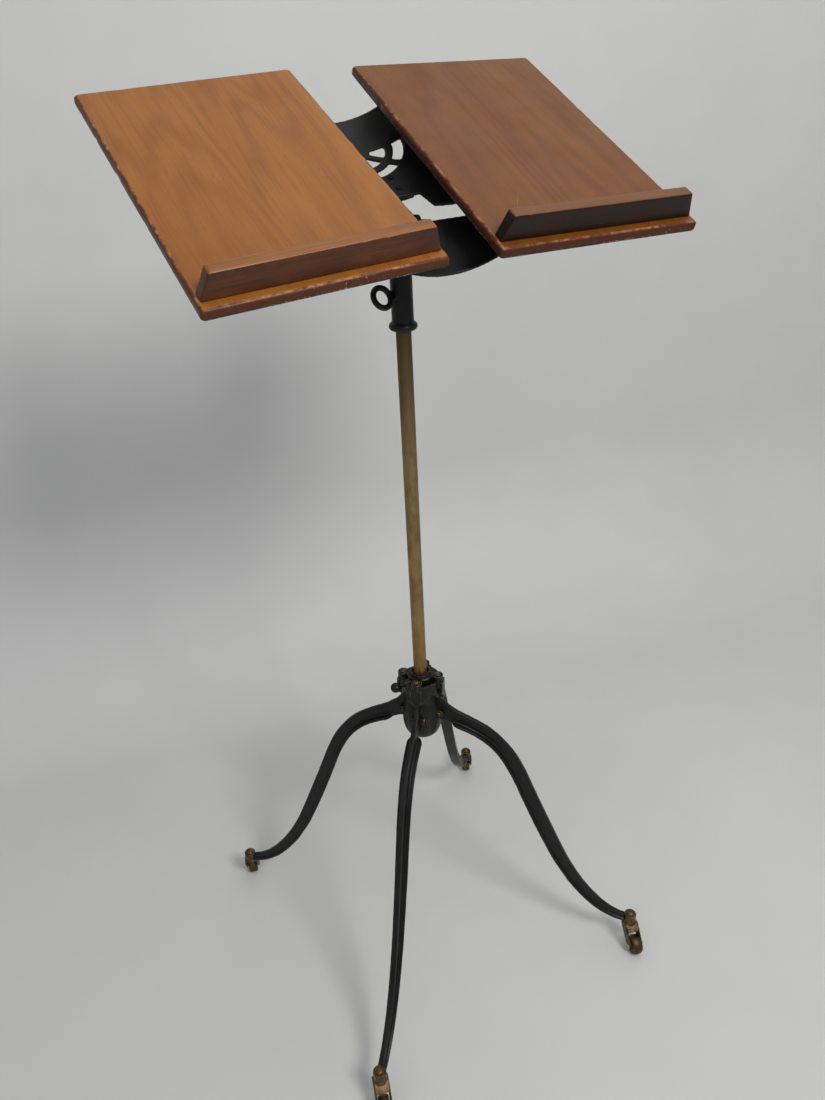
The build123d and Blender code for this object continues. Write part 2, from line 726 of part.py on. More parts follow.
def build_cradle():
    z_in, z_out = -LEAF_T, -LEAF_T - CRADLE_T
    r_out = CRADLE_R + CRADLE_T
    lug_u = LUG_X - LEAF_GAP / 2
    # lug edge and arc end of the upper and lower skins, per side
    lug_in = {s: lug_point(s, lug_u, z_in) for s in (-1, 1)}
    lug_out = {s: lug_point(s, lug_u, z_out) for s in (-1, 1)}
    meet_in = {s: arc_meet(s, CRADLE_R, z_in) for s in (-1, 1)}
    meet_out = {s: arc_meet(s, r_out, z_out) for s in (-1, 1)}
    with BuildPart() as cradle:
        with BuildSketch(head_cross(CRADLE_LEN / 2)):
            with BuildLine():
                Line(lug_in[-1], meet_in[-1])
                ThreePointArc(meet_in[-1], (0, -CRADLE_DEEP), meet_in[1])
                Polyline(meet_in[1], lug_in[1], lug_out[1], meet_out[1])
                ThreePointArc(meet_out[1], (0, -CRADLE_DEEP - CRADLE_T), meet_out[-1])
                Polyline(meet_out[-1], lug_out[-1], lug_in[-1])
            make_face()
        extrude(amount=CRADLE_LEN)
        # side flanges cut back to four screw lugs
        with BuildSketch(head_flat()):
            with Locations((LUG_X + 14.0, 0), (-LUG_X - 14.0, 0)):
                RectangleRounded(80.0, 190.0, 18.0)
        extrude(amount=-40.0, mode=Mode.SUBTRACT)
        # window over the tilt pivot
        with BuildSketch(head_flat()):
            with BuildLine():
                ThreePointArc((-64.0, -86.0), (0, -63.0), (64.0, -86.0))
                Polyline((64.0, -86.0), (64.0, -60.0), (41.0, -43.0), (37.0, -16.0))
                ThreePointArc((37.0, -16.0), (0, -11.0), (-37.0, -16.0))
                Polyline((-37.0, -16.0), (-41.0, -43.0), (-64.0, -60.0), (-64.0, -86.0))
            make_face()
            fillet(vertices(), 4.0)
        extrude(amount=CUT_DEPTH, mode=Mode.SUBTRACT)
        # pierced half fan, opening towards the reader
        for r0, r1 in FAN_RINGS:
            # half the spoke's angle at each radius
            gap0, gap1 = math.asin(SPOKE / 2 / r0), math.asin(SPOKE / 2 / r1)
            for k in range(4):
                start, end = math.radians(180 + 45 * k), math.radians(225 + 45 * k)
                middle = (start + end) / 2
                inner = [fan_point(r0, a) for a in (start + gap0, middle, end - gap0)]
                outer = [fan_point(r1, a) for a in (end - gap1, middle, start + gap1)]
                with BuildSketch(head_flat()):
                    with BuildLine():
                        ThreePointArc(*inner)
                        Line(inner[2], outer[0])
                        ThreePointArc(*outer)
                        Line(outer[2], inner[0])
                    make_face()
                    fillet(vertices(), 2.0)
                extrude(amount=CUT_DEPTH, mode=Mode.SUBTRACT)
        # screw holes: yoke, then leaves
        with BuildSketch(head_flat()):
            with Locations(*YOKE_SCREWS):
                Circle(YOKE_HOLE_R)
        extrude(amount=CUT_DEPTH, mode=Mode.SUBTRACT)
        for side in (-1, 1):
            with BuildSketch(leaf_flat(side, -LEAF_T + 1.0)):
                with Locations(*leaf_screw_spots(side)):
                    Circle(2.3)
            extrude(amount=-12.0, mode=Mode.SUBTRACT)
    return cradle.part


def build_yoke_screws():
    """Button-headed screws, cradle to yoke."""
    head_t = 1.9
    head_z0 = cradle_z(SCREW_X, CRADLE_R) + 1.7 - head_t
    plate_in = arc_points(60, CRADLE_R)
    plate_out = arc_points(60, CRADLE_R + CRADLE_T)
    with BuildPart() as screws:
        for spot in YOKE_SCREWS:
            with BuildSketch(head_flat(head_z0)):
                with Locations(spot):
                    Circle(4.0)
            extrude(amount=head_t)
            with BuildSketch(head_flat(head_z0)):
                with Locations(spot):
                    Circle(YOKE_SHANK_R)
            extrude(amount=-13.0)
        # cut away the curved plate to clear the heads
        with BuildSketch(head_cross(40.0)):
            with BuildLine():
                ThreePointArc(*plate_in)
                Line(plate_in[2], plate_out[2])
                ThreePointArc(*plate_out[::-1])
                Line(plate_out[0], plate_in[0])
            make_face()
        extrude(amount=60.0, mode=Mode.SUBTRACT)
        # restore the shanks through the plate
        with BuildSketch(head_flat(-56.0)):
            with Locations(*YOKE_SCREWS):
                Circle(YOKE_SHANK_R)
        extrude(amount=9.0)
    return screws.part


# ============================================================ LEAVES
LEDGE_T, LEDGE_H = 15.0, 29.0
LEDGE_BASE, LEDGE_TOP = 246.0, 227.0  # lengths along X
LEDGE_Y = -177.0                # centre line of the ledge, up the slope
LEDGE_SCREW_X = (-90.0, 0.0, 90.0)
NOSE_R = 4.2                    # rounding of the leaf's rims
HOUSING = 0.5                   # depth of the ledge's housing in the leaf


def ledge_screw_spots(side):
    return [(side * LEAF_W / 2 + dx, LEDGE_Y) for dx in LEDGE_SCREW_X]


def build_leaf(side):
    centre_x = side * LEAF_W / 2
    with BuildPart() as leaf:
        with BuildSketch(leaf_flat(side)):
            with Locations((centre_x, 0)):
                RectangleRounded(LEAF_W, LEAF_D, 4.0)
        extrude(amount=-LEAF_T)
        rims = leaf.faces().filter_by(leaf_flat(side)).edges()
        fillet(rims, NOSE_R)
        # shallow housing across the leaf for the ledge
        with BuildSketch(leaf_flat(side)):
            with Locations((centre_x, LEDGE_Y)):
                Rectangle(LEAF_W + 10.0, LEDGE_T + 0.1)
        extrude(amount=-HOUSING, mode=Mode.SUBTRACT)
        # from below: cradle pilot holes, ledge screw holes and their counterbores
        for spots, radius, depth in ((leaf_screw_spots(side), 2.0, 9.0),
                                     (ledge_screw_spots(side), 2.0, LEAF_T),
                                     (ledge_screw_spots(side), 4.0, 2.5)):
            with BuildSketch(leaf_flat(side, -LEAF_T)):
                with Locations(*spots):
                    Circle(radius)
            extrude(amount=depth, mode=Mode.SUBTRACT)
    return leaf.part


def build_ledge(side):
    """Book ledge: trapezoid seen from the reader, chamfered top."""
    centre_x = side * LEAF_W / 2
    with BuildPart() as ledge:
        with BuildSketch(leaf_cross(side, LEDGE_Y + LEDGE_T / 2)):
            with BuildLine():
                Polyline((centre_x - LEDGE_BASE / 2, -HOUSING),
                         (centre_x + LEDGE_BASE / 2, -HOUSING),
                         (centre_x + LEDGE_TOP / 2, LEDGE_H),
                         (centre_x - LEDGE_TOP / 2, LEDGE_H), close=True)
            make_face()
        extrude(amount=LEDGE_T)
        top = ledge.faces().filter_by(leaf_flat(side)).sort_by(Axis.Z)[-1]
        chamfer(top.edges(), 1.6)
        with BuildSketch(leaf_flat(side, -1.0)):
            with Locations(*ledge_screw_spots(side)):
                Circle(1.9)
        extrude(amount=17.0, mode=Mode.SUBTRACT)
    return ledge.part


def build_leaf_screws():
    """Screws from the cradle's lugs up into the leaves."""
    shank_start = CRADLE_T + 0.1  # below the leaf's under face
    with BuildPart() as screws:
        for side in (-1, 1):
            with BuildSketch(leaf_flat(side, -LEAF_T - CRADLE_T - 2.2)):
                with Locations(*leaf_screw_spots(side)):
                    Circle(4.2)
            extrude(amount=2.15)
            with BuildSketch(leaf_flat(side, -LEAF_T - shank_start)):
                with Locations(*leaf_screw_spots(side)):
                    Circle(1.98)
            extrude(amount=shank_start + 8.5)
    return screws.part


def build_ledge_screws():
    """Screws from the leaves' counterbores up into the ledges."""
    with BuildPart() as screws:
        for side in (-1, 1):
            for radius, length in ((3.8, 2.2), (1.88, LEAF_T + 14.0)):  # head, shank
                with BuildSketch(leaf_flat(side, -LEAF_T + 0.2)):
                    with Locations(*ledge_screw_spots(side)):
                        Circle(radius)
                extrude(amount=length)
    return screws.part


# ============================================================ FILES
def keep(part, label):
    part.label = label
    export_step(part, f"parts/{label}.step")


keep(build_hub_body(), "hub_body")
keep(build_hub_collar(), "hub_collar_plate")
keep(build_collar_screws(), "hub_collar_screws")
keep(build_height_screw(), "height_lock_screw")
keep(build_leg_pins(), "leg_root_pins")
for corner, leg_az in LEG_AZ.items():
    caster_plane = upright(TRAIL_AZ[corner], polar(leg_az, TOE_R))
    keep(build_leg(leg_az), f"leg_{corner}")
    keep(build_socket(leg_az), f"caster_socket_{corner}")
    keep(build_fork(caster_plane), f"caster_fork_{corner}")
    keep(build_axle(caster_plane), f"caster_axle_{corner}")
    keep(build_wheel(caster_plane), f"caster_wheel_{corner}")
keep(build_pole(), "pole")
keep(build_pole_plug(), "pole_end_plug")
keep(build_head_socket(), "head_socket")
keep(build_eye_screw(), "swivel_lock_screw")
keep(build_tilt_yoke(), "tilt_yoke")
keep(build_tilt_bolt(), "tilt_bolt")
keep(build_tilt_washer(), "tilt_washer")
keep(build_wing_nut(), "tilt_wing_nut")
keep(build_cradle(), "book_cradle")
keep(build_yoke_screws(), "yoke_screws")
for leaf_side, side_name in ((-1, "left"), (1, "right")):
    keep(build_leaf(leaf_side), f"board_{side_name}")
    keep(build_ledge(leaf_side), f"ledge_{side_name}")
keep(build_leaf_screws(), "board_screws")
keep(build_ledge_screws(), "ledge_screws")
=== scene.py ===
import math

import bmesh
import bpy
from mathutils import Matrix, Vector, noise


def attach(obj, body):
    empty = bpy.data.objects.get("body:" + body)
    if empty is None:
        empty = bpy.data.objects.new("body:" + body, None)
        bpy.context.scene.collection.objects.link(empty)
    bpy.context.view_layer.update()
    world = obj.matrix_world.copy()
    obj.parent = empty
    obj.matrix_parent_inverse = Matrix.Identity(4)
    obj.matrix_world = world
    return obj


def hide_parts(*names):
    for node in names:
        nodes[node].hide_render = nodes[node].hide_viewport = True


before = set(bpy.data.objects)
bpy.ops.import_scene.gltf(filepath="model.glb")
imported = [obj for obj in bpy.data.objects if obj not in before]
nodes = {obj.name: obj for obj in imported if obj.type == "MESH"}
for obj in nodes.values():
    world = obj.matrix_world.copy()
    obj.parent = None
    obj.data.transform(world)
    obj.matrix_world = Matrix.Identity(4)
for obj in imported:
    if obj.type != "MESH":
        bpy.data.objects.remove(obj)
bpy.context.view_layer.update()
scene = bpy.context.scene

MM = 1000  # millimetres in a metre

# ---------------------------------------------------------------- head and leaf frames
HEAD_TILT = math.radians(25.6)
HEAD_ORIGIN = Vector((0.0, 0.0077, 1.2148))
HEAD_X = Vector((1, 0, 0))
HEAD_Y = Vector((0, math.cos(HEAD_TILT), math.sin(HEAD_TILT)))   # up the slope
HEAD_Z = Vector((0, -math.sin(HEAD_TILT), math.cos(HEAD_TILT)))  # off the face

SIDE_NAMES = {-1: "left", 1: "right"}
LEAF_INNER_EDGE = 35.2  # from the head's centre line
LEAF_HALF_WIDTH = 127.0
LEAF_HALF_HEIGHT = 196.0
LEAF_THICKNESS = 12.7
LEAF_CORNER_RADIUS = 4.0
NOSING_RADIUS = 4.2
# side: roll about the inner edge (degrees), turn in its plane (degrees), shift up the slope (mm)
LEAF_SET = {-1: (-2.97, 1.39, 0.7), 1: (-0.84, -1.86, -0.6)}


def leaf_frame(side):
    """Origin on the leaf's inner edge, and its x, y and z axes."""
    roll, turn, shift = LEAF_SET[side]
    roll, turn = math.radians(roll), math.radians(turn)
    origin = HEAD_ORIGIN + HEAD_X * (side * LEAF_INNER_EDGE / MM) + HEAD_Y * (shift / MM)
    x_axis = (HEAD_X * (math.cos(turn) * math.cos(roll)) + HEAD_Y * math.sin(turn)
              - HEAD_Z * (math.cos(turn) * math.sin(roll)))
    z_axis = HEAD_X * math.sin(roll) + HEAD_Z * math.cos(roll)
    return origin, x_axis, z_axis.cross(x_axis), z_axis


LEAF_FRAMES = {side: leaf_frame(side) for side in SIDE_NAMES}


def leaf_point(side, x, y, z):
    """Millimetres on one leaf (x from its inner edge) to metres in the world."""
    origin, x_axis, y_axis, z_axis = LEAF_FRAMES[side]
    return origin + (x_axis * x + y_axis * y + z_axis * z) / MM


# ---------------------------------------------------------------- shader helpers
def srgb(*levels):
    """Levels from 0 to 255 to linear colour."""
    return tuple((c / 255) / 12.92 if c <= 10 else ((c / 255 + 0.055) / 1.055) ** 2.4
                 for c in levels)


class Material:
    """A Principled material, with short calls that add nodes to its tree."""

    SOCKETS = {"color": "Base Color", "metal": "Metallic", "rough": "Roughness",
               "normal": "Normal", "spec": "Specular IOR Level", "coat": "Coat Weight",
               "coat_rough": "Coat Roughness"}

    def __init__(self, name):
        self.data = bpy.data.materials.new(name)
        self.data.use_nodes = True
        self.tree = self.data.node_tree
        self.tree.nodes.clear()
        self.output = self.node("OutputMaterial")
        self.shader = self.node("BsdfPrincipled")
        self.put(self.output.inputs[0], self.shader.outputs[0])
        self.coords = self.node("TexCoord").outputs

    def put(self, socket, value):
        if isinstance(value, bpy.types.NodeSocket):
            self.tree.links.new(value, socket)
        else:
            socket.default_value = (*value, 1.0) if socket.type == "RGBA" else value

    def node(self, kind, inputs=None, **settings):
        node = self.tree.nodes.new("ShaderNode" + kind)
        for key, value in settings.items():
            setattr(node, key, value)
        for key, value in (inputs or {}).items():
            self.put(node.inputs[key], value)
        return node

    def math(self, operation, *values, clamp=False):
        inputs = dict(enumerate(values))
        return self.node("Math", inputs, operation=operation, use_clamp=clamp).outputs[0]

    def add(self, a, b):
        return self.math("ADD", a, b)

    def sub(self, a, b):
        return self.math("SUBTRACT", a, b)

    def mul(self, a, b):
        return self.math("MULTIPLY", a, b)

    def vector(self, operation, a, b):
        outputs = self.node("VectorMath", {0: a, 1: b}, operation=operation).outputs
        return outputs["Value"] if operation == "DOT_PRODUCT" else outputs[0]

    def noise(self, place, detail, rough, scale=1.0, stretch=None, distortion=0.0):
        if stretch:
            place = self.vector("MULTIPLY", place, stretch)
        return self.node("TexNoise", {
            "Vector": place, "Scale": scale, "Detail": detail, "Roughness": rough,
            "Distortion": distortion}).outputs[0]

    def jitter(self, value, noise, amount):
        return self.add(value, self.mul(self.sub(noise, 0.5), amount))

    def ramp(self, value, stops):
        node = self.node("ValToRGB", {0: value})
        elements = node.color_ramp.elements
        while len(elements) < len(stops):
            elements.new(0.5)
        for element, (position, color) in zip(elements, stops):
            element.position = position
            element.color = (*color, 1)
        return node.outputs[0]

    def rise(self, value, lo, hi):
        """0 below lo, 1 above hi, smooth between."""
        return self.node("MapRange", {"Value": value, "From Min": lo, "From Max": hi},
                         interpolation_type="SMOOTHSTEP", clamp=True).outputs[0]

    def fall(self, value, lo, hi):
        """1 below lo, 0 above hi, smooth between."""
        return self.sub(1.0, self.rise(value, lo, hi))

    def mix(self, factor, a, b, blend="MIX"):
        return self.node("Mix", {0: factor, 6: a, 7: b}, data_type="RGBA",
                         blend_type=blend).outputs[2]

    def paint(self, under, mask, color, amount):
        """Lay a colour over another where the mask is high."""
        return self.mix(self.mul(mask, amount), under, color)

    def between(self, mask, low, high):
        return self.node("Mix", {0: mask, 2: low, 3: high}, data_type="FLOAT").outputs[0]

    def bump(self, height, strength, distance):
        return self.node("Bump", {"Height": height, "Strength": strength,
                                  "Distance": distance}).outputs[0]

    def pointiness(self):
        """High on sharp edges, low in hollows."""
        return self.node("NewGeometry").outputs["Pointiness"]

    def surface(self, **values):
        for key, value in values.items():
            self.put(self.shader.inputs[self.SOCKETS[key]], value)


# ---------------------------------------------------------------- wood
# side: colour multiplier
LEAF_TONE = {-1: (0.84, 0.95, 0.48), 1: (0.47, 0.46, 0.17)}
LEDGE_TONE = {-1: (1.36, 1.25, 0.70), 1: (0.22, 0.22, 0.10)}


def leaf_coords(mat, side):
    """Place on one leaf in metres, as a vector and as x, y and z."""
    origin, *axes = LEAF_FRAMES[side]
    offset = mat.vector("SUBTRACT", mat.coords["Object"], tuple(origin))
    parts = [mat.vector("DOT_PRODUCT", offset, tuple(axis)) for axis in axes]
    return mat.node("CombineXYZ", dict(enumerate(parts))).outputs[0], *parts


def leaf_wood(side):
    mat = Material("leaf_cherry_" + SIDE_NAMES[side])
    place, x, y, z = leaf_coords(mat, side)
    # Each leaf is cut from different boards.
    board = mat.vector("ADD", place, (3.37 * side, 1.91 * side, 0.0))

    # Soft cathedral figure and fibres, stretched along the grain.
    warp = mat.noise(board, stretch=(7.0, 1.3, 7.0), detail=3, rough=0.5)
    flow = mat.node("CombineXYZ", {0: mat.mul(mat.sub(warp, 0.5), 0.05)}).outputs[0]
    wavy = mat.vector("ADD", board, flow)
    figure = mat.noise(wavy, scale=10.0, stretch=(1.0, 0.11, 1.0), detail=2.0, rough=0.45,
                       distortion=0.4)
    rings = mat.math("FRACT", mat.mul(figure, 15.0))
    ring_line = mat.rise(mat.math("ABSOLUTE", mat.sub(rings, 0.5)), lo=0.10, hi=0.5)
    grain = mat.noise(wavy, stretch=(430.0, 7.0, 430.0), detail=4, rough=0.6)
    fine = mat.noise(wavy, stretch=(1500.0, 26.0, 1500.0), detail=2, rough=0.6)
    broad = mat.noise(wavy, stretch=(20.0, 1.8, 20.0), detail=3, rough=0.5)
    cloud = mat.noise(board, scale=7.0, detail=3, rough=0.5)
    pore = mat.rise(mat.noise(wavy, stretch=(1300.0, 60.0, 1300.0), detail=2, rough=0.5),
                    lo=0.66, hi=0.74)
    color = mat.ramp(broad, [(0.25, srgb(150, 84, 42)), (0.52, srgb(165, 96, 51)),
                             (0.78, srgb(176, 108, 60))])
    color = mat.paint(color, ring_line, srgb(126, 66, 34), amount=0.34)
    color = mat.paint(color, mat.rise(grain, lo=0.44, hi=0.72), srgb(112, 58, 30), amount=0.38)
    color = mat.paint(color, mat.rise(fine, lo=0.50, hi=0.74), srgb(98, 50, 26), amount=0.24)
    color = mat.paint(color, pore, srgb(72, 34, 18), amount=0.60)
    color = mat.paint(color, mat.rise(cloud, lo=0.45, hi=0.75), srgb(188, 122, 72), amount=0.14)
    color = mat.mix(1.0, color, LEAF_TONE[side], blend="MULTIPLY")

    # Long faint scratches across the grain.
    turned = mat.node("VectorRotate", {"Vector": board, "Angle": 0.55},
                      rotation_type="Z_AXIS").outputs[0]
    lines = mat.noise(turned, stretch=(420.0, 5.5, 10.0), detail=2, rough=0.5)
    gate = mat.noise(board, scale=7.0, detail=2, rough=0.5)
    scratch = mat.mul(mat.rise(lines, lo=0.725, hi=0.765), mat.rise(gate, lo=0.52, hi=0.64))
    color = mat.paint(color, scratch, srgb(190, 140, 100), amount=0.35)

    # Edge wear goes by the distance in from the leaf's outline.
    half_width, half_height = LEAF_HALF_WIDTH / MM, LEAF_HALF_HEIGHT / MM
    from_side = mat.sub(half_width, mat.math("ABSOLUTE", mat.sub(x, side * half_width)))
    from_end = mat.sub(half_height, mat.math("ABSOLUTE", y))
    inset = mat.math("MINIMUM", from_side, from_end)
    mottle = mat.noise(board, scale=95.0, detail=5, rough=0.65)
    crumb = mat.noise(board, scale=330.0, detail=3, rough=0.7)
    drift = mat.noise(board, scale=24.0, detail=4, rough=0.65)

    # The nosing is darker and redder than the face; the lower edge and underside are darker still,
    # with painted shade.
    nosing = mat.fall(mat.jitter(inset, mottle, amount=0.002), lo=0.0022, hi=0.0042)
    color = mat.paint(color, nosing, srgb(66, 27, 17), amount=0.86)
    # Painted shade under the leaf: darker below 7 mm under the face.
    color = mat.paint(color, mat.fall(z, lo=-0.0108, hi=-0.0070), srgb(34, 15, 11), amount=0.8)

    # Thin broken light line on the top arris: rubbed wear and a painted highlight.
    arris = mat.mul(mat.rise(z, lo=-0.0022, hi=-0.0008),
                    mat.mul(mat.fall(inset, lo=0.0030, hi=0.0044),
                            mat.rise(inset, lo=0.0008, hi=0.0022)))
    rub_and_highlight = mat.mul(arris, mat.mul(mat.rise(mottle, lo=0.40, hi=0.58),
                                 mat.rise(drift, lo=0.36, hi=0.60)))
    # Painted highlight and rubbed wear along the top arris.
    color = mat.paint(color, rub_and_highlight, srgb(186, 128, 84), amount=0.62)

    # Small chips along the lower arris and scattered over the edge.
    low = mat.mul(mat.mul(mat.rise(z, lo=-0.0112, hi=-0.0100),
                          mat.fall(z, lo=-0.0092, hi=-0.0082)),
                  mat.fall(inset, lo=0.0014, hi=0.0026))
    low = mat.mul(low, mat.mul(mat.rise(crumb, lo=0.52, hi=0.60),
                               mat.rise(drift, lo=0.46, hi=0.58)))
    clusters = mat.noise(board, scale=32.0, detail=2, rough=0.5)
    chips = mat.mul(mat.mul(mat.rise(crumb, lo=0.64, hi=0.69),
                            mat.rise(clusters, lo=0.54, hi=0.64)),
                    mat.fall(inset, lo=0.0014, hi=0.0030))
    chips = mat.math("MAXIMUM", chips, low)
    color = mat.paint(color, chips, srgb(206, 166, 126), amount=0.8)

    # Relief: fibres stand up; chips, scratches and pores sink.
    height = mat.add(mat.mul(grain, 0.35), mat.add(mat.mul(fine, 0.45), mat.mul(chips, -1.4)))
    height = mat.sub(height, mat.add(mat.mul(scratch, 0.6), mat.mul(pore, 0.5)))
    sheen = mat.rise(mat.noise(board, scale=15.0, detail=4, rough=0.6), lo=0.35, hi=0.7)
    mat.surface(color=color, rough=mat.between(sheen, low=0.38, high=0.50),
                spec=mat.between(nosing, low=0.34, high=0.22), coat=0.05, coat_rough=0.32,
                normal=mat.bump(height, strength=0.13, distance=0.0006))
    return mat.data


def ledge_wood(side):
    mat = Material("ledge_stained_wood_" + SIDE_NAMES[side])
    place = leaf_coords(mat, side)[0]
    facing_up = mat.vector("DOT_PRODUCT", mat.coords["Normal"], tuple(LEAF_FRAMES[side][3]))
    grain = mat.noise(place, stretch=(12.0, 600.0, 600.0), detail=4, rough=0.6)
    fine = mat.noise(place, stretch=(45.0, 1900.0, 1900.0), detail=2, rough=0.6)
    blotch = mat.noise(place, stretch=(14.0, 30.0, 40.0), detail=4, rough=0.6)

    # Dark stain with painted shade on the sides; lighter worn wood with painted light on the top
    # face, chosen by the way each face points.
    stain_and_shade = mat.ramp(blotch, [(0.3, srgb(52, 27, 18)), (0.55, srgb(72, 39, 26)),
                             (0.8, srgb(92, 52, 35))])
    stain_and_shade = mat.paint(stain_and_shade, mat.rise(grain, lo=0.45, hi=0.72), srgb(34, 18, 13), amount=0.45)
    stain_and_shade = mat.mix(1.0, stain_and_shade, LEDGE_TONE[side], blend="MULTIPLY")
    streak = mat.noise(place, stretch=(9.0, 300.0, 300.0), detail=4, rough=0.6)
    light = mat.ramp(streak, [(0.25, srgb(118, 70, 36)), (0.7, srgb(148, 96, 52))])
    light = mat.paint(light, mat.rise(fine, lo=0.5, hi=0.72), srgb(82, 42, 26), amount=0.3)
    if side > 0:
        light = mat.mix(0.6, light, srgb(96, 58, 40))
    mottle = mat.noise(place, scale=70.0, detail=5, rough=0.65)
    # Faces turned off the leaf get the top colour: painted light there, painted shade on the other
    # faces.
    top = mat.rise(mat.jitter(facing_up, mottle, amount=0.35), lo=0.45, hi=0.75)
    color = mat.paint(stain_and_shade, top, light, amount=0.96)

    # Rubbed arrises and nicks.
    wear = mat.mul(mat.rise(mat.pointiness(), lo=0.525, hi=0.59),
                   mat.rise(mottle, lo=0.42, hi=0.58))
    color = mat.paint(color, wear, srgb(184, 132, 92), amount=0.8)
    crumb = mat.noise(place, scale=260.0, detail=3, rough=0.7)
    clusters = mat.noise(place, scale=30.0, detail=2, rough=0.5)
    nicks = mat.mul(mat.rise(crumb, lo=0.66, hi=0.70), mat.rise(clusters, lo=0.54, hi=0.64))
    color = mat.paint(color, nicks, srgb(170, 126, 94), amount=0.5)
    height = mat.add(mat.mul(grain, 0.5), mat.mul(fine, 0.5))
    mat.surface(color=color, spec=0.30, coat=0.04, coat_rough=0.25,
                rough=mat.between(mat.rise(blotch, lo=0.35, hi=0.7), low=0.34, high=0.48),
                normal=mat.bump(height, strength=0.12, distance=0.0006))
    return mat.data


# ---------------------------------------------------------------- metal
def iron(name, worn, base=(17, 18, 17), edge=(92, 80, 58), lo=0.55, hi=0.64, grime=0.12):
    """Dark iron; edges sharper than lo..hi show the edge colour, by the amount worn."""
    mat = Material(name)
    place = mat.coords["Object"]
    blotch = mat.noise(place, scale=22.0, detail=5, rough=0.6)
    sand = mat.noise(place, scale=420.0, detail=4, rough=0.65)
    grit = mat.noise(place, scale=1500.0, detail=3, rough=0.6)
    shade = [max(4, int(level * 0.62)) for level in base]
    color = mat.ramp(blotch, [(0.28, srgb(*shade)), (0.55, srgb(*base)),
                              (0.80, srgb(base[0] + 7, base[1] + 8, base[2] + 6))])
    dust = mat.mul(mat.rise(mat.noise(place, scale=60.0, detail=5, rough=0.7),
                            lo=0.56, hi=0.78), grime)
    color = mat.mix(dust, color, srgb(70, 68, 58))
    rust = mat.rise(mat.noise(place, scale=130.0, detail=4, rough=0.7), lo=0.63, hi=0.74)
    color = mat.paint(color, rust, srgb(60, 43, 29), amount=grime * 1.6)
    point = mat.pointiness()
    mottle = mat.noise(place, scale=160.0, detail=4, rough=0.65)
    wear = mat.mul(mat.rise(mat.jitter(point, mottle, amount=0.16), lo, hi), 1.0)
    wear = mat.math("MULTIPLY", wear, worn, clamp=True)
    color = mat.mix(wear, color, srgb(*edge))
    # Painted shade: hollows are darkened towards black.
    color = mat.paint(color, mat.fall(point, lo=0.40, hi=0.48), srgb(8, 8, 8), amount=0.6)
    rough = mat.between(mat.rise(blotch, lo=0.3, hi=0.75), low=0.30, high=0.46)
    height = mat.add(mat.mul(sand, 0.7), mat.mul(grit, 0.3))
    mat.surface(color=color, metal=mat.between(wear, low=0.0, high=0.75),
                rough=mat.add(rough, mat.mul(dust, 0.5)), spec=0.26,
                normal=mat.bump(height, strength=0.22, distance=0.0008))
    return mat.data


def tint_by_height(mat, color, place, blotch):
    """Darken the top of the pole and warm its foot; heights are in metres."""
    z = mat.node("SeparateXYZ", {0: place}).outputs[2]
    upper = mat.rise(mat.jitter(z, blotch, amount=0.22), lo=0.80, hi=1.08)
    color = mat.paint(color, upper, srgb(56, 48, 31), amount=0.90)
    return mat.paint(color, mat.fall(z, lo=0.50, hi=0.72), srgb(138, 106, 60), amount=0.65)


def brass(name, stops, rough, height_tint=False):
    """Aged brass; rough is its lowest and highest roughness."""
    mat = Material(name)
    place = mat.coords["Object"]
    blotch = mat.noise(place, stretch=(60.0, 60.0, 26.0), detail=6, rough=0.65)
    speck = mat.noise(place, scale=420.0, detail=4, rough=0.7)
    color = mat.ramp(blotch, stops)
    if height_tint:
        color = tint_by_height(mat, color, place, blotch)
    streak = mat.noise(place, stretch=(300.0, 300.0, 9.0), detail=3, rough=0.6)
    color = mat.paint(color, mat.rise(streak, lo=0.5, hi=0.75), srgb(62, 50, 34), amount=0.35)
    color = mat.paint(color, mat.rise(speck, lo=0.62, hi=0.72), srgb(40, 33, 25), amount=0.45)
    point = mat.pointiness()
    # Painted highlight along sharp edges.
    color = mat.paint(color, mat.rise(point, lo=0.54, hi=0.62), srgb(176, 148, 98), amount=0.75)
    # Painted shade: hollows are darkened.
    color = mat.paint(color, mat.fall(point, lo=0.40, hi=0.48), srgb(26, 20, 14), amount=0.7)
    mottle = mat.rise(mat.noise(place, scale=90.0, detail=5, rough=0.65), lo=0.35, hi=0.7)
    height = mat.add(mat.mul(speck, 0.6), mat.mul(streak, 0.5))
    mat.surface(color=color, metal=0.82, rough=mat.between(mottle, *rough),
                normal=mat.bump(height, strength=0.22, distance=0.0006))
    return mat.data


LEAF_WOOD = {side: leaf_wood(side) for side in SIDE_NAMES}
LEDGE_WOOD = {side: ledge_wood(side) for side in SIDE_NAMES}
IRON = iron("black_japanned_iron", worn=0.45)
CRADLE = iron("cradle_iron", worn=0.55, edge=(120, 118, 104), lo=0.56, hi=0.66)
HUB = iron("hub_iron", worn=1.0, base=(19, 19, 17), edge=(158, 137, 96), lo=0.52, hi=0.59,
           grime=0.30)
WORN = iron("worn_fastener_iron", worn=1.0, base=(46, 41, 31), edge=(176, 152, 100),
            lo=0.51, hi=0.58)
POLE = brass("aged_pole_brass", rough=(0.34, 0.55), height_tint=True,
             stops=[(0.28, srgb(96, 78, 50)), (0.5, srgb(140, 116, 78)),
                    (0.75, srgb(168, 142, 98))])
CASTER = brass("tarnished_caster_brass", rough=(0.36, 0.58),
               stops=[(0.3, srgb(46, 37, 26)), (0.5, srgb(86, 69, 46)),
                      (0.75, srgb(124, 103, 71))])
STEEL = iron("dull_screw_steel", worn=0.7, base=(74, 72, 66), edge=(150, 146, 134),
             lo=0.53, hi=0.62)

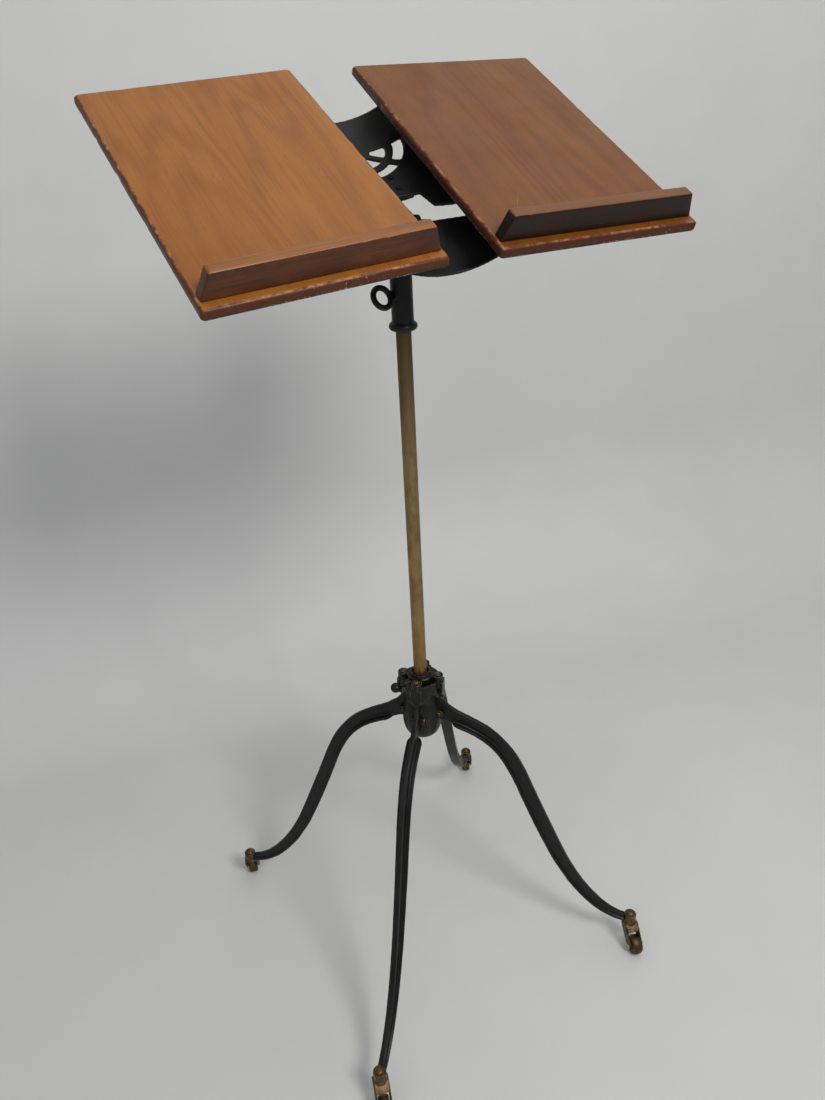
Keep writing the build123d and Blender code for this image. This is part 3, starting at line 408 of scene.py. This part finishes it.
# ---------------------------------------------------------------- CAD pieces
# Piece, material, then where it is softened: voxel (mm), smoothing passes,
# and where its surface is uneven: depth (mm), size of the unevenness (m).
CORNER_PIECES = [
    ("leg", IRON, 1.1, 3, 0.35, 0.018),
    ("caster_socket", CASTER, 0.45, 2, 0.12, 0.004),
    ("caster_fork", CASTER, 0.45, 2, 0.12, 0.004),
    ("caster_axle", WORN),
    ("caster_wheel", CASTER, 0.45, 3, 0.15, 0.005),
]
SINGLE_PIECES = [
    ("hub_body", HUB, 0.6, 3, 0.30, 0.010),
    ("hub_collar_plate", HUB, 0.5, 2, 0.15, 0.008),
    ("hub_collar_screws", WORN, 0.4, 1),
    ("leg_root_pins", WORN, 0.4, 1),
    ("height_lock_screw", IRON, 0.45, 2),
    ("pole", POLE),
    ("pole_end_plug", POLE, 0.5, 1),
    ("head_socket", IRON, 0.6, 2, 0.12, 0.010),
    ("swivel_lock_screw", IRON, 0.4, 2, 0.12, 0.006),
    ("tilt_yoke", CRADLE, 0.7, 3, 0.15, 0.010),
    ("tilt_bolt", WORN, 0.4, 1),
    ("tilt_washer", WORN, 0.35, 1),
    ("tilt_wing_nut", HUB, 0.4, 2),
    ("book_cradle", CRADLE, 0.9, 3, 0.30, 0.030),
    ("yoke_screws", CRADLE, 0.4, 1),
    ("board_screws", STEEL, 0.4, 1),
    ("ledge_screws", STEEL, 0.4, 1),
]


def dress(name, material, voxel=None, passes=None, depth=None, cloud_size=None):
    """Give a CAD piece its material and, where asked, soft edges and an uneven surface."""
    piece = nodes[name]
    piece.data.materials.clear()
    piece.data.materials.append(material)
    for polygon in piece.data.polygons:
        polygon.material_index = 0
    if voxel:
        remesh = piece.modifiers.new("cast", "REMESH")
        remesh.mode = "VOXEL"
        remesh.voxel_size = voxel / MM
        remesh.use_smooth_shade = True
        soften = piece.modifiers.new("soften", "SMOOTH")
        soften.factor = 0.6
        soften.iterations = passes
    if depth:
        clouds = bpy.data.textures.new(name + "_cast", "CLOUDS")
        clouds.noise_scale = cloud_size
        clouds.noise_depth = 2
        uneven = piece.modifiers.new("uneven", "DISPLACE")
        uneven.texture = clouds
        uneven.texture_coords = "LOCAL"
        uneven.strength = depth / MM
        uneven.mid_level = 0.5


for corner in ("front_left", "front_right", "rear_right", "rear_left"):
    for piece_name, *finish in CORNER_PIECES:
        dress(f"{piece_name}_{corner}", *finish)
for piece_finish in SINGLE_PIECES:
    dress(*piece_finish)
for pole_polygon in nodes["pole"].data.polygons:
    pole_polygon.use_smooth = False


# ---------------------------------------------------------------- mesh helpers
def dent(place, amount, seed):
    """Depth of small, sparse dents, never negative."""
    wide = noise.noise(place * 60 + Vector((seed, 0, 0)))
    small = noise.noise(place * 190 + Vector((0, seed, 0)))
    return amount * (max(0.0, wide - 0.25) * 1.6 + max(0.0, small - 0.35) * 1.0)


def new_object(name, bm, material):
    mesh = bpy.data.meshes.new(name)
    bm.to_mesh(mesh)
    bm.free()
    mesh.materials.append(material)
    built = bpy.data.objects.new(name, mesh)
    scene.collection.objects.link(built)
    return built


def stand_in(built, cad_name, rides):
    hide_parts(cad_name)
    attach(built, rides)


# ---------------------------------------------------------------- leaves
def rounded_outline(half_x, half_y, radius, step=3.0, arc=8):
    """Rounded rectangle as (x, y, outward x, outward y), long sides cut about every step."""
    inner_x, inner_y = half_x - radius, half_y - radius
    corners = []
    for center_x, center_y, start in ((inner_x, inner_y, 0), (-inner_x, inner_y, 90),
                                      (-inner_x, -inner_y, 180), (inner_x, -inner_y, 270)):
        for k in range(arc + 1):
            angle = math.radians(start + 90 * k / arc)
            out_x, out_y = math.cos(angle), math.sin(angle)
            corners.append((center_x + radius * out_x, center_y + radius * out_y, out_x, out_y))
    outline = []
    for here, ahead in zip(corners, corners[1:] + corners[:1]):
        outline.append(here)
        run_x, run_y = ahead[0] - here[0], ahead[1] - here[1]
        length = math.hypot(run_x, run_y)
        if length > step * 2:
            cuts = int(length / step)
            for j in range(1, cuts):
                t = j / cuts
                outline.append((here[0] + run_x * t, here[1] + run_y * t, *here[2:]))
    return outline


def leaf_profile():
    """(inset from the outline, z) from the face, round the nosing, to the underside."""
    angles = [math.radians(90 * k / 6) for k in range(7)]
    radius, bottom = NOSING_RADIUS, -LEAF_THICKNESS
    upper = [(radius - radius * math.sin(a), -radius + radius * math.cos(a)) for a in angles]
    lower = [(radius - radius * math.cos(a), bottom + radius - radius * math.sin(a))
             for a in angles]
    face = [(30.0, 0.0), (14.0, 0.0), (7.5, 0.0), (5.0, 0.0)]
    return face + upper + lower + [(5.6, bottom), (14.0, bottom)]


def build_leaf(name, side, seed):
    half_x, half_y = LEAF_HALF_WIDTH, LEAF_HALF_HEIGHT
    center_x = side * half_x
    worn_band = 5.0  # dents stay within this inset
    outline = rounded_outline(half_x, half_y, LEAF_CORNER_RADIUS)
    bm = bmesh.new()
    rings = []
    for inset, z in leaf_profile():
        ring = []
        for x, y, out_x, out_y in outline:
            # Scaling each way by its own half size keeps the inset square to the sides.
            x = center_x + x * ((half_x - inset) / half_x)
            y = y * ((half_y - inset) / half_y)
            place = leaf_point(side, x, y, z)
            if inset < worn_band:
                depth = dent(place, 1.1, seed) * (1.0 - inset / worn_band)
                depth = max(0.0, depth + 0.12 * (noise.noise(place * 14) + 0.2))
                dented_z = z - (depth * 0.5 if z > -5 else -depth * 0.4)
                place = leaf_point(side, x - out_x * depth, y - out_y * depth, dented_z)
            ring.append(bm.verts.new(place))
        rings.append(ring)
    count = len(outline)
    for a, b in zip(rings, rings[1:]):
        for i in range(count):
            j = (i + 1) % count
            bm.faces.new((a[j], a[i], b[i], b[j]))
    bm.faces.new(rings[0])
    bm.faces.new(rings[-1][::-1])
    bmesh.ops.recalc_face_normals(bm, faces=bm.faces)
    for face in bm.faces:
        face.smooth = True
    leaf = new_object(name, bm, LEAF_WOOD[side])
    weighted = leaf.modifiers.new("flats", "WEIGHTED_NORMAL")
    weighted.keep_sharp = True
    weighted.weight = 100
    return leaf


# ---------------------------------------------------------------- ledges
LEDGE_HALF_FOOT = 123.0  # half length where it meets the leaf
LEDGE_HALF_TOP = 113.5
LEDGE_HEIGHT = 29.0
LEDGE_THICKNESS = 15.0
LEDGE_Y = -177.0
LEDGE_LIFT = 0.02  # clears the leaf's face
LEDGE_ARRIS = 1.7
LEDGE_CUTS = (124, 6, 14)  # along x, y and z


def ledge_point(side, seed, u, v, w):
    """World place of a ledge vertex from fractions of its length, thickness and height."""
    height, radius, half_y = LEDGE_HEIGHT, LEDGE_ARRIS, LEDGE_THICKNESS / 2
    half_x = LEDGE_HALF_FOOT + (LEDGE_HALF_TOP - LEDGE_HALF_FOOT) * w
    x = (2 * u - 1) * half_x
    y = (2 * v - 1) * half_y
    z = LEDGE_LIFT + w * (height - LEDGE_LIFT)
    # Rounded arrises: pull the surface towards a smaller box.
    core_x = max(-half_x + radius, min(half_x - radius, x))
    core_y = max(-half_y + radius, min(half_y - radius, y))
    core_z = min(height - radius, z)
    out = Vector((x - core_x, y - core_y, z - core_z))
    if out.length > radius:
        out = out.normalized() * radius
        x, y, z = core_x + out.x, core_y + out.y, core_z + out.z
    center_x = side * LEAF_HALF_WIDTH
    place = leaf_point(side, center_x + x, LEDGE_Y + y, z)
    on_edge = sum((abs(x - core_x) > 1e-6, abs(y - core_y) > 1e-6, z > height - radius)) >= 2
    depth = dent(place, 1.2, seed) if on_edge else 0.0
    waver = 0.10 * noise.noise(place * 22 + Vector((seed, 0, 0)))
    if abs(x) > half_x - 3:
        x -= math.copysign(depth * 0.3, x)
    y -= math.copysign(depth * 0.7 + waver, y)
    if z > height * 0.5:
        z -= depth * 0.6
    return leaf_point(side, center_x + x, LEDGE_Y + y, z)


def build_ledge(name, side, seed):
    bm = bmesh.new()
    nx, ny, nz = LEDGE_CUTS
    grid = {}

    def vertex(i, j, k):
        if (i, j, k) not in grid:
            grid[i, j, k] = bm.verts.new(ledge_point(side, seed, i / nx, j / ny, k / nz))
        return grid[i, j, k]

    def quad(*corners):
        bm.faces.new([vertex(*corner) for corner in corners])

    for i in range(nx):
        for j in range(ny):
            quad((i, j, nz), (i + 1, j, nz), (i + 1, j + 1, nz), (i, j + 1, nz))
            quad((i, j, 0), (i, j + 1, 0), (i + 1, j + 1, 0), (i + 1, j, 0))
        for k in range(nz):
            quad((i, 0, k), (i + 1, 0, k), (i + 1, 0, k + 1), (i, 0, k + 1))
            quad((i, ny, k), (i, ny, k + 1), (i + 1, ny, k + 1), (i + 1, ny, k))
    for j in range(ny):
        for k in range(nz):
            quad((0, j, k), (0, j, k + 1), (0, j + 1, k + 1), (0, j + 1, k))
            quad((nx, j, k), (nx, j + 1, k), (nx, j + 1, k + 1), (nx, j, k + 1))
    bmesh.ops.recalc_face_normals(bm, faces=bm.faces)
    for face in bm.faces:
        face.smooth = True
    ledge = new_object(name, bm, LEDGE_WOOD[side])
    subdivide = ledge.modifiers.new("sub", "SUBSURF")
    subdivide.levels = subdivide.render_levels = 1
    return ledge


for side, seed in ((-1, 3.1), (1, 8.7)):
    tag = SIDE_NAMES[side]
    stand_in(build_leaf("leaf_" + tag, side, seed), "board_" + tag, "head")
    stand_in(build_ledge("book_ledge_" + tag, side, seed + 1.3), "ledge_" + tag, "head")

# ---------------------------------------------------------------- pole
POLE_RADIUS = 9.525
POLE_WALL = 1.65
POLE_BOTTOM, POLE_TOP, POLE_STEP = 404, 1098, 4
POLE_SEGMENTS = 96


def build_pole():
    """Open tube whose outside has shallow dips."""
    bm = bmesh.new()
    angles = [2 * math.pi * i / POLE_SEGMENTS for i in range(POLE_SEGMENTS)]

    def vertex(radius, angle, z):
        return bm.verts.new((radius * math.cos(angle) / MM, radius * math.sin(angle) / MM, z / MM))

    def outer_radius(angle, z):
        place = Vector((math.cos(angle) * 1.5, math.sin(angle) * 1.5, z / 40))
        return POLE_RADIUS - 0.05 * max(0.0, noise.noise(place))

    outer = [[vertex(outer_radius(angle, z), angle, z) for angle in angles]
             for z in (*range(POLE_BOTTOM, POLE_TOP, POLE_STEP), POLE_TOP)]
    for a, b in zip(outer, outer[1:]):
        for i in range(POLE_SEGMENTS):
            j = (i + 1) % POLE_SEGMENTS
            bm.faces.new((a[i], a[j], b[j], b[i]))
    low, high = [[vertex(POLE_RADIUS - POLE_WALL, angle, z) for angle in angles]
                 for z in (POLE_BOTTOM, POLE_TOP)]
    # Bore, bottom rim, top rim.
    for i in range(POLE_SEGMENTS):
        j = (i + 1) % POLE_SEGMENTS
        bm.faces.new((low[j], low[i], high[i], high[j]))
        bm.faces.new((outer[0][j], outer[0][i], low[i], low[j]))
        bm.faces.new((outer[-1][i], outer[-1][j], high[j], high[i]))
    bmesh.ops.recalc_face_normals(bm, faces=bm.faces)
    for face in bm.faces:
        face.smooth = abs(face.normal.z) < 0.5
    return new_object("pole_tube", bm, POLE)


stand_in(build_pole(), "pole", "pole")

# ---------------------------------------------------------------- backdrop (metres)
BACKDROP_DEPTH_AXIS = Vector((0.188, 0.982, 0)).normalized()
BACKDROP_NEAR, BACKDROP_BEND = -4.0, 0.55  # floor's near end and where it starts to curve up
BACKDROP_RADIUS = 0.42
BACKDROP_TOP = 4.5
BACKDROP_HALF_WIDTH = 9.0


def paper():
    mat = Material("pale_paper")
    place = mat.coords["Object"]
    color = mat.ramp(mat.noise(place, scale=2.2, detail=4, rough=0.6),
                     [(0.3, (0.60, 0.60, 0.585)), (0.7, (0.64, 0.64, 0.625))])
    speck = mat.rise(mat.noise(place, scale=70.0, detail=3, rough=0.6), lo=0.74, hi=0.80)
    color = mat.paint(color, speck, (0.33, 0.32, 0.28), amount=0.12)
    height = mat.noise(place, scale=120.0, detail=4, rough=0.6)
    mat.surface(color=color, rough=0.55, spec=0.35,
                normal=mat.bump(height, strength=0.05, distance=0.001))
    # The wall is clear to a camera that stands behind it.
    behind = mat.mul(mat.node("NewGeometry").outputs["Backfacing"],
                     mat.node("LightPath").outputs["Is Camera Ray"])
    clear = mat.node("BsdfTransparent").outputs[0]
    both = mat.node("MixShader", {0: behind, 1: mat.shader.outputs[0], 2: clear})
    mat.put(mat.output.inputs[0], both.outputs[0])
    return mat.data


def build_backdrop():
    """Floor that curves up into a wall."""
    depth_axis, radius = BACKDROP_DEPTH_AXIS, BACKDROP_RADIUS
    width_axis = Vector((depth_axis.y, -depth_axis.x, 0))
    profile = [(BACKDROP_NEAR, 0.0), (BACKDROP_BEND, 0.0)]
    for k in range(1, 25):
        angle = math.radians(90 * k / 24)
        profile.append((BACKDROP_BEND + radius * math.sin(angle),
                        radius - radius * math.cos(angle)))
    profile.append((BACKDROP_BEND + radius, BACKDROP_TOP))
    bm = bmesh.new()
    a, b = [[bm.verts.new(depth_axis * depth + width_axis * across + Vector((0, 0, z)))
             for depth, z in profile] for across in (-BACKDROP_HALF_WIDTH, BACKDROP_HALF_WIDTH)]
    for i in range(len(profile) - 1):
        bm.faces.new((a[i], a[i + 1], b[i + 1], b[i])).smooth = True
    # Turn the floor's face up.
    bmesh.ops.reverse_faces(bm, faces=bm.faces)
    new_object("backdrop", bm, paper())


build_backdrop()


# ---------------------------------------------------------------- light
def area(name, place, target, size, power, color):
    light = bpy.data.lights.new(name, "AREA")
    light.shape = "RECTANGLE"
    light.size, light.size_y = size
    light.energy = power
    light.color = color
    lamp = bpy.data.objects.new(name, light)
    lamp.location = place
    lamp.rotation_euler = (Vector(target) - Vector(place)).to_track_quat("-Z", "Y").to_euler()
    scene.collection.objects.link(lamp)


area("key", place=(0.35, -2.3, 2.75), target=(0.0, 0.3, 0.8), size=(0.85, 0.85), power=54,
     color=(1.0, 0.99, 0.97))
area("fill", place=(-2.2, -1.6, 2.2), target=(0, 0, 0.7), size=(2.2, 2.2), power=10,
     color=(0.95, 0.97, 1.0))
area("top", place=(0.9, -0.2, 3.4), target=(0.3, 0.2, 0.0), size=(2.4, 2.0), power=14,
     color=(1, 1, 1))

SKY_COLOR = (0.93, 0.96, 1.0, 1)
SKY_STRENGTH = 0.36
world = bpy.data.worlds.new("studio")
scene.world = world
world.use_nodes = True
sky = world.node_tree.nodes["Background"]
sky.inputs[0].default_value = SKY_COLOR
sky.inputs[1].default_value = SKY_STRENGTH

# ---------------------------------------------------------------- camera
CAMERA_PLACE = (-0.4843, -0.9368, 1.2965)
CAMERA_RIGHT = Vector((0.8771179, -0.4782242, -0.0443376))
CAMERA_UP = Vector((0.2649220, 0.4047539, 0.8752089))
CAMERA_BACK = Vector((-0.4006002, -0.7794074, 0.4817090))

lens = bpy.data.cameras.new("camera")
lens.sensor_fit = "AUTO"
lens.sensor_width = 36
lens.lens = 28.876582  # focal length, mm
lens.clip_start = 0.02
camera = bpy.data.objects.new("camera", lens)
turn = Matrix((CAMERA_RIGHT, CAMERA_UP, CAMERA_BACK)).transposed().to_4x4()
camera.matrix_world = Matrix.Translation(CAMERA_PLACE) @ turn
scene.collection.objects.link(camera)
scene.camera = camera
scene.view_settings.view_transform = "Standard"
scene.view_settings.look = "None"

bpy.context.view_layer.update()
